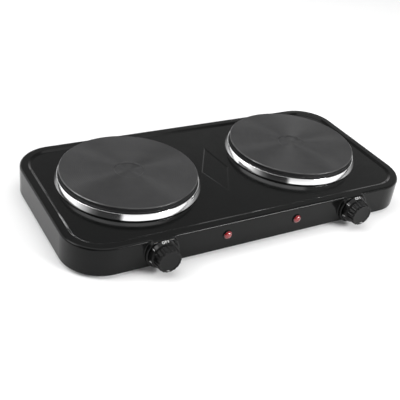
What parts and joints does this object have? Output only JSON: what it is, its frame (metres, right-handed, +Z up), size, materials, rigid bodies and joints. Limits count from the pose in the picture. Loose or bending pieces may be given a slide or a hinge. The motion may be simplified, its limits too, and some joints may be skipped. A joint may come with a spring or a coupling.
{
  "type": "hot plate burner",
  "caption": "Tabletop electric hot plate: round cast-iron cooking plates in a black enamelled steel housing, with front knobs that turn thermostats and red pilot lamps.",
  "frame": {"origin": "on the table, under the middle of the whole appliance, knobs and cord gland included", "axes": "+X along the length to the right as seen from the front, +Y to the back where the cord gland is, +Z up"},
  "size_m": [0.492, 0.273, 0.0557],
  "materials": {
    "black_enamel": "gloss",
    "black_plastic": "satin",
    "black_rubber": "matte",
    "black_sleeve": "matte",
    "blue_sleeve": "matte",
    "brass": "satin",
    "brown_sleeve": "matte",
    "cast_iron": "matte",
    "clamp_nylon": "satin",
    "coil_alloy": "matte",
    "galvanised": "satin",
    "green_yellow_sleeve": "matte",
    "label_foil": "satin",
    "magnesia": "matte",
    "neon_glass": "clear",
    "red_lens": "gloss",
    "spring_steel": "satin",
    "stainless": "polished",
    "steatite": "matte",
    "zinc_steel": "satin"
  },
  "bodies": {
    "base": {"bimetal_strips": "spring_steel", "bottom_cover": "galvanised", "bottom_screws": "zinc_steel", "ceramic_spacers": "steatite", "contact_springs": "brass", "cord_clamp_bar": "clamp_nylon", "cord_clamp_base": "clamp_nylon", "cord_gland": "black_rubber", "crimp_sleeves": "brass", "earth_lug": "brass", "earth_nut": "zinc_steel", "earth_screw": "zinc_steel", "earth_wire": "green_yellow_sleeve", "fixing_screws": "zinc_steel", "foot_front_left": "black_rubber", "foot_front_right": "black_rubber", "foot_nuts": "zinc_steel", "foot_rear_left": "black_rubber", "foot_rear_right": "black_rubber", "foot_screws": "zinc_steel", "housing": "black_enamel", "lamp_retainers": "zinc_steel", "left_clamp_bridge": "galvanised", "left_coil_filler": "magnesia", "left_heating_coil": "coil_alloy", "left_lamp_body": "black_plastic", "left_lamp_lens": "red_lens", "left_plate_casting": "cast_iron", "left_plate_cover": "galvanised", "left_thermostat_frame": "zinc_steel", "left_trim_ring": "stainless", "live_wires": "brown_sleeve", "load_wires": "black_sleeve", "neon_bulbs": "neon_glass", "neutral_wires": "blue_sleeve", "plate_nuts": "zinc_steel", "plate_studs": "zinc_steel", "rating_label": "label_foil", "right_clamp_bridge": "galvanised", "right_coil_filler": "magnesia", "right_heating_coil": "coil_alloy", "right_lamp_body": "black_plastic", "right_lamp_lens": "red_lens", "right_plate_casting": "cast_iron", "right_plate_cover": "galvanised", "right_thermostat_frame": "zinc_steel", "right_trim_ring": "stainless", "spade_connectors": "brass", "stack_rivets": "zinc_steel", "tail_beads": "steatite", "terminal_block": "steatite", "terminal_inserts": "brass", "terminal_screws": "zinc_steel", "thermostat_screws": "zinc_steel"},
    "left_control": {"left_knob": "black_plastic", "left_spindle": "zinc_steel"},
    "right_control": {"right_knob": "black_plastic", "right_spindle": "zinc_steel"},
    "left_pin": {"left_push_pin": "steatite"},
    "right_pin": {"right_push_pin": "steatite"}
  },
  "joints": [
    {"name": "left_knob_turn", "type": "hinge", "parent": "base", "child": "left_control", "pos_m": [-0.141, -0.1135, 0.0245], "axis": [0, 1, 0], "range_deg": [0, 270]},
    {"name": "right_knob_turn", "type": "hinge", "parent": "base", "child": "right_control", "pos_m": [0.141, -0.1135, 0.0245], "axis": [0, 1, 0], "range_deg": [0, 270]},
    {"name": "left_pin_slide", "type": "slide", "parent": "base", "child": "left_pin", "axis": [0, 1, 0], "range_m": [0, 0.0007]},
    {"name": "right_pin_slide", "type": "slide", "parent": "base", "child": "right_pin", "axis": [0, 1, 0], "range_m": [0, 0.0007]}
  ],
  "couplings": [
    {"joint": "left_pin_slide", "follows": "left_knob_turn", "m_per_rad": 0.00014854},
    {"joint": "right_pin_slide", "follows": "right_knob_turn", "m_per_rad": 0.00014854}
  ]
}
